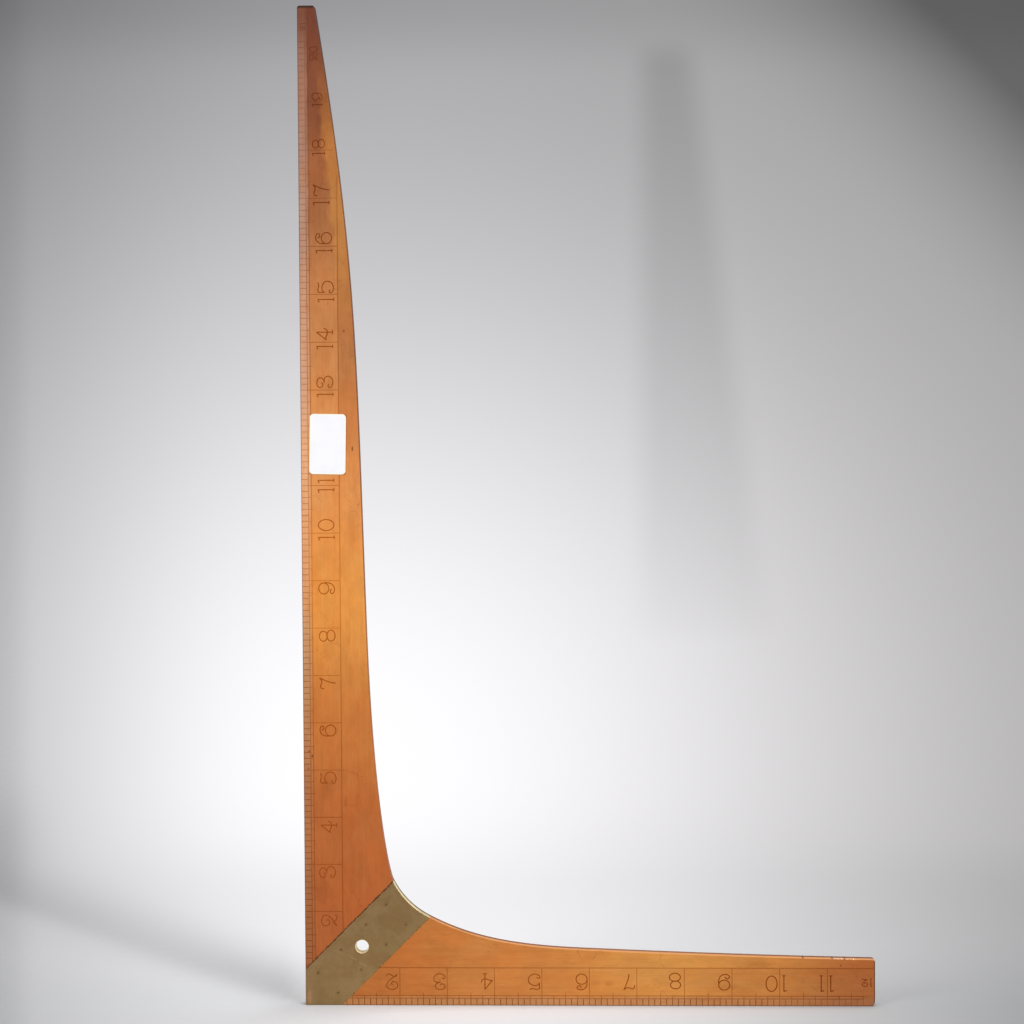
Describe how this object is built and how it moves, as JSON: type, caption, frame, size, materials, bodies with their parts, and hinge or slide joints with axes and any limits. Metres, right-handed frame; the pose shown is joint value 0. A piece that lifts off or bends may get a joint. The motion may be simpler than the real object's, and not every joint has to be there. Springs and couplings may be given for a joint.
{
  "type": "tailor square",
  "caption": "L-shaped tailor's square: two curved boxwood arms with inch scales, riveted into a brass corner with a hanging hole.",
  "frame": {"origin": "outer corner of the square, where the two outer edges meet, halfway through the thickness", "axes": "+X along the short arm's outer edge, +Z along the long arm's outer edge, -Y out of the front face, which carries the paper label"},
  "size_m": [0.3048, 0.0065, 0.5334],
  "materials": {
    "boxwood": "old clear varnish, golden where worn and redder towards the tip and the corner",
    "old_brass": "dull olive-brown patina with small nicks, bright inside the hollow and the hole",
    "dark_filling": "matt dark pigment rubbed into the cut lines",
    "paper": "matt off-white paper, slightly aged"
  },
  "bodies": {
    "root": {"long_arm": "boxwood", "short_arm": "boxwood", "brass_corner": "old_brass", "long_rivet_1": "old_brass", "long_rivet_2": "old_brass", "long_rivet_3": "old_brass", "long_rivet_4": "old_brass", "short_rivet_1": "old_brass", "short_rivet_2": "old_brass", "short_rivet_3": "old_brass", "short_rivet_4": "old_brass", "long_front_graduations": "dark_filling", "short_front_graduations": "dark_filling", "long_back_graduations": "dark_filling", "short_back_graduations": "dark_filling", "paper_label": "paper"}
  },
  "joints": []
}
